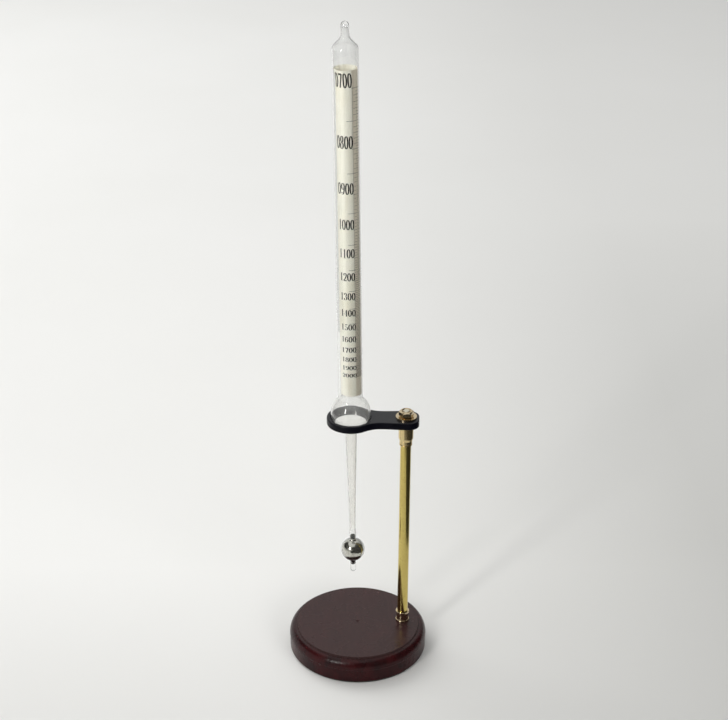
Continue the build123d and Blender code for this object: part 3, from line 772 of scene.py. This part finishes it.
# The scale reads relative density times 1000: a mark's height falls nearly as one over its number.
SCALE_FOOT, SCALE_SPAN, SCALE_BEND = 119.31, 205.88, 8.31
HUNDREDS = range(700, 2001, 100)
FIGURE_FOOT, FIGURE_SPAN, FIGURE_BEND = -3.0, 13.1, -2.8
# How far figures stand above their mark.
FIGURE_RISE = 0.15
# The first and last number's whole width.
NUMBER_WIDTHS = (12.1, 10.5)


def mark_height(number):
    share = 1000 / number
    return SCALE_FOOT + SCALE_SPAN * share + SCALE_BEND * share**2


def figure_height(number):
    """Figures get lower as their marks close up."""
    share = 1000 / number
    return FIGURE_FOOT + FIGURE_SPAN * share + FIGURE_BEND * share**2


def ellipse(centre, radii, start, end, steps=20):
    """Points round an ellipse between two angles in degrees."""
    turn = (end - start) / steps
    return [
        (centre[0] + radii[0] * math.cos(math.radians(start + turn * i)),
         centre[1] + radii[1] * math.sin(math.radians(start + turn * i)))
        for i in range(steps + 1)
    ]


# Strokes of each figure in a box one wide and one high: (points, kind).
# A pen stroke is broad where it runs up and down and fine where it runs across.
FIGURES = {
    "0": [(ellipse((0.5, 0.5), (0.33, 0.475), 0, 360, 36), "pen")],
    "1": [
        ([(0.52, 0.02), (0.52, 0.98)], "stem"),
        ([(0.24, 0.015), (0.80, 0.015)], "hair"),
        ([(0.50, 0.97), (0.40, 0.88), (0.24, 0.84)], "hair"),
    ],
    "2": [
        (ellipse((0.49, 0.72), (0.31, 0.255), 175, -30) + [(0.56, 0.36), (0.30, 0.17), (0.15, 0.05)],
         "pen"),
        ([(0.15, 0.055), (0.40, 0.075), (0.66, 0.05), (0.82, 0.07)], "slab"),
        ([(0.82, 0.05), (0.88, 0.22)], "hair"),
        ([(0.24, 0.74)], "ball"),
    ],
    "3": [
        (ellipse((0.46, 0.755), (0.28, 0.225), 160, -90), "pen"),
        (ellipse((0.46, 0.275), (0.34, 0.255), 90, -160), "pen"),
        ([(0.24, 0.80)], "ball"),
        ([(0.22, 0.21)], "ball"),
    ],
    "4": [
        ([(0.64, 0.02), (0.64, 0.98)], "stem"),
        ([(0.62, 0.97), (0.08, 0.29), (0.94, 0.29)], "hair"),
        ([(0.42, 0.015), (0.88, 0.015)], "hair"),
    ],
    "5": [
        ([(0.24, 0.93), (0.50, 0.91), (0.80, 0.95)], "slab"),
        ([(0.24, 0.94), (0.22, 0.50)], "hair"),
        (ellipse((0.46, 0.31), (0.33, 0.29), 130, -160), "pen"),
        ([(0.23, 0.17)], "ball"),
    ],
    "6": [
        (ellipse((0.5, 0.29), (0.31, 0.27), 0, 360, 32), "pen"),
        (ellipse((0.62, 0.40), (0.43, 0.58), 188, 75), "pen"),
        ([(0.76, 0.84)], "ball"),
    ],
    "7": [
        ([(0.14, 0.93), (0.40, 0.90), (0.86, 0.94)], "slab"),
        ([(0.15, 0.96), (0.13, 0.74)], "hair"),
        ([(0.86, 0.94), (0.68, 0.62), (0.52, 0.34), (0.46, 0.02)], "pen"),
    ],
    "8": [
        (ellipse((0.5, 0.745), (0.26, 0.235), 0, 360, 32), "pen"),
        (ellipse((0.5, 0.265), (0.32, 0.245), 0, 360, 32), "pen"),
    ],
}
FIGURES["9"] = [([(1 - x, 1 - y) for x, y in line], kind) for line, kind in FIGURES["6"]]
# Stroke widths as shares of a figure's width, and the longest quad along a stroke in millimetres.
BROAD, FINE = 0.30, 0.055
STROKE_STEP = 0.35
# Shares of a figure's height and width: their sum is a slab's half width, and the smaller of the other
# two is a ball's radius.
SLAB_OF_HEIGHT, SLAB_OF_WIDTH = 0.035, 0.05
BALL_OF_HEIGHT, BALL_OF_WIDTH = 0.09, 0.16


def divided(line):
    """A line with points added, so that its quads follow the roll."""
    out = [line[0]]
    for (ax, ay), (bx, by) in zip(line, line[1:]):
        count = max(1, math.ceil(math.hypot(bx - ax, by - ay) / STROKE_STEP))
        out += [(ax + (bx - ax) * i / count, ay + (by - ay) * i / count) for i in range(1, count + 1)]
    return out


def ribbon(line, width, height, kind, corner):
    """A stroke's two edges, in millimetres along and up the paper from a figure's lower left corner."""
    scaled = divided([(corner[0] + x * width, corner[1] + y * height) for x, y in line])
    left, right = [], []
    for i, (x, y) in enumerate(scaled):
        before, after = scaled[max(i - 1, 0)], scaled[min(i + 1, len(scaled) - 1)]
        if len(scaled) > 2 and scaled[0] == scaled[-1] and i in (0, len(scaled) - 1):
            before, after = scaled[-2], scaled[1]
        dx, dy = after[0] - before[0], after[1] - before[1]
        size = math.hypot(dx, dy)
        dx, dy = dx / size, dy / size
        fine, broad = FINE * width, BROAD * width
        if kind == "pen":
            half = (fine + (broad - fine) * abs(dy) ** 2.2) / 2
        elif kind == "stem":
            half = broad / 2
        elif kind == "slab":
            half = SLAB_OF_HEIGHT * height + SLAB_OF_WIDTH * width
        else:
            half = fine / 2
        left.append((x - dy * half, y + dx * half))
        right.append((x + dy * half, y - dx * half))
    return left, right


def print_quads(quads, centre, points, faces):
    """Lays flat quads, given in millimetres along and up the paper from an angle, on the roll."""
    for quad in quads:
        faces.append(tuple(range(len(points), len(points) + len(quad))))
        for x, z in quad:
            points.append(on_paper(centre + math.degrees(x / PAPER_R), z, PRINT_LIFT))


def figure_quads(figure, width, height, corner):
    quads = []
    for line, kind in FIGURES[figure]:
        if kind == "ball":
            centre = (corner[0] + line[0][0] * width, corner[1] + line[0][1] * height)
            radius = min(BALL_OF_WIDTH * width, BALL_OF_HEIGHT * height)
            rim = ellipse(centre, (radius, radius), 0, 360, 12)[:-1]
            quads.append(rim)
            continue
        left, right = ribbon(line, width, height, kind, corner)
        for i in range(len(left) - 1):
            quads.append([left[i], right[i], right[i + 1], left[i + 1]])
    return quads


def make_numbers(material):
    """A number by every hundredth mark, standing on its line."""
    points, faces = [], []
    for number in HUNDREDS:
        height = figure_height(number)
        along = (mark_height(700) - mark_height(number)) / (mark_height(700) - mark_height(2000))
        whole = NUMBER_WIDTHS[0] + (NUMBER_WIDTHS[1] - NUMBER_WIDTHS[0]) * along
        centre = -NUMBER_LEFT_TURN[0] + (NUMBER_LEFT_TURN[0] - NUMBER_LEFT_TURN[1]) * along
        width = whole / 4
        for i, figure in enumerate(f"{number:04d}"):
            corner = (-whole / 2 + i * width, mark_height(number) + FIGURE_RISE)
            print_quads(figure_quads(figure, width, height, corner), centre, points, faces)
    piece("scale_numbers", leaned(points), faces, material, "hydrometer", "scale_paper")


def tick(left, right, height, thick, points, faces):
    """A fine line round the roll between two angles."""
    steps = max(2, int((right - left) / 4))
    first = len(points)
    for i in range(steps + 1):
        angle = left + (right - left) * i / steps
        points.append(on_paper(angle, height - thick / 2, PRINT_LIFT))
        points.append(on_paper(angle, height + thick / 2, PRINT_LIFT))
    for i in range(steps):
        a = first + 2 * i
        faces.append((a, a + 2, a + 3, a + 1))


def make_graduations(material):
    """The ladder of marks to the right of the numbers: every 5 units, then every 10 from 1200."""
    points, faces = [], []
    for number in [*range(700, 1200, 5), *range(1200, 2001, 10)]:
        height = mark_height(number)
        left, thick = next((left, thick) for units, left, thick in MARKS if number % units == 0)
        tick(left, LADDER_RIGHT, height, thick, points, faces)
    top, foot = mark_height(700) + LADDER_PAST, mark_height(2000) - LADDER_PAST
    wide = math.degrees(LADDER_HALF / PAPER_R)
    steps = 40
    for angle in (LADDER_LEFT, LADDER_RIGHT):
        first = len(points)
        for i in range(steps + 1):
            z = foot + (top - foot) * i / steps
            points.append(on_paper(angle - wide, z, PRINT_LIFT))
            points.append(on_paper(angle + wide, z, PRINT_LIFT))
        for i in range(steps):
            a = first + 2 * i
            faces.append((a, a + 1, a + 3, a + 2))
    piece("scale_graduations", leaned(points), faces, material, "hydrometer", "scale_paper")


# ---------------------------------------------------------------- rod, in millimetres

rod_low, rod_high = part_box("brass_rod")
ROD_AXIS = ((rod_low.x + rod_high.x) / 2 / MM, (rod_low.y + rod_high.y) / 2 / MM)
ROD_R = (rod_high.x - rod_low.x) / 2 / MM
STUD_R, THREAD_DEPTH, THREAD_PITCH = 2.4, 0.35, 0.8
# The narrow bands next to the rod's two shoulders, and how far over the arm the upper thread is set.
BAND, THREAD_RISE = 0.01, 0.1
COUNTERBORE_TOP = 8.6


def stud_rings(low, high):
    """The rings of a thread between two heights, climbing."""
    line = []
    height = low
    while height + THREAD_PITCH <= high:
        line += [(STUD_R, height), (STUD_R - THREAD_DEPTH, height + THREAD_PITCH / 2)]
        height += THREAD_PITCH
    line.append((STUD_R, height))
    return line


def make_rod(material):
    base_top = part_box("foot_collar")[0].z / MM
    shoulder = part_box("holder_arm")[0].z / MM
    arm_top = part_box("holder_arm")[1].z / MM
    foot, top = rod_low.z / MM, rod_high.z / MM
    line = [(0, foot), (STUD_R - THREAD_DEPTH, foot)]
    line += stud_rings(foot + THREAD_DEPTH, COUNTERBORE_TOP)
    line += [(STUD_R, base_top), (ROD_R, base_top), (ROD_R, base_top + BAND)]
    line += [(ROD_R, base_top + (shoulder - base_top) * i / 20) for i in range(1, 20)]
    line += [(ROD_R, shoulder - BAND), (ROD_R, shoulder), (STUD_R, shoulder), (STUD_R, arm_top)]
    line += stud_rings(arm_top + THREAD_RISE, top - THREAD_DEPTH)[1:]
    line += [(STUD_R, top - THREAD_DEPTH), (STUD_R - THREAD_DEPTH, top), (0, top)]
    points, faces = lathe_mesh(line, ROD_AXIS, 96)
    made = piece("brass_rod_turned", points, faces, material, "stand", "brass", "brass_rod")
    mark_sharp(made, 30)


# ---------------------------------------------------------------- build

make_camera()
make_floor()
make_world()
make_dark_room()
make_lamps()

brass = metal("rod_brass", ((0.66, 0.53, 0.17), (0.60, 0.47, 0.15), (0.22, 0.17, 0.07)),
              (0.10, 0.20), (1.0, 1.0, 0.02), 0.35, 0.00001)
# Painted reflection: the stud's end above the washer is paler, standing in for the bright room that it
# mirrors.
paint_reflection_above(brass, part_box("arm_washer")[1].z, (0.80, 0.74, 0.60))
fittings = metal("fitting_brass", ((0.76, 0.63, 0.43), (0.68, 0.55, 0.36), (0.38, 0.27, 0.16)),
                 (0.12, 0.18), (0.4, 0.4, 3.0), 0.15, 0.000002)
ferrule_brass = metal("ferrule_brass", ((0.72, 0.58, 0.30), (0.66, 0.52, 0.26), (0.38, 0.28, 0.13)),
                      (0.16, 0.24), (0.4, 0.4, 3.0), 0.15, 0.000002)
steel = metal("plated_steel", ((0.60, 0.59, 0.55), (0.52, 0.51, 0.47), (0.20, 0.18, 0.15)),
              (0.22, 0.36), (1.0, 1.0, 1.0), 0.4, 0.00002)
for node, material in (
    ("wood_base", mahogany()),
    ("felt_pad", felt()),
    ("base_washer", steel),
    ("base_nut", steel),
    ("foot_collar", fittings),
    ("ferrule_ring", ferrule_brass),
    ("top_ferrule", ferrule_brass),
    ("arm_washer", fittings),
    ("arm_nut", fittings),
    ("holder_arm", arm_black()),
):
    for material_slot in nodes[node].material_slots:
        material_slot.material = material

make_glass(clear_glass())
make_mercury(mercury())
make_paper(scale_paper())
print_ink = ink()
make_numbers(print_ink)
make_graduations(print_ink)
make_rod(brass)

scene = bpy.context.scene
scene.view_settings.view_transform = "Standard"
scene.cycles.max_bounces = 16
scene.cycles.transmission_bounces = 14
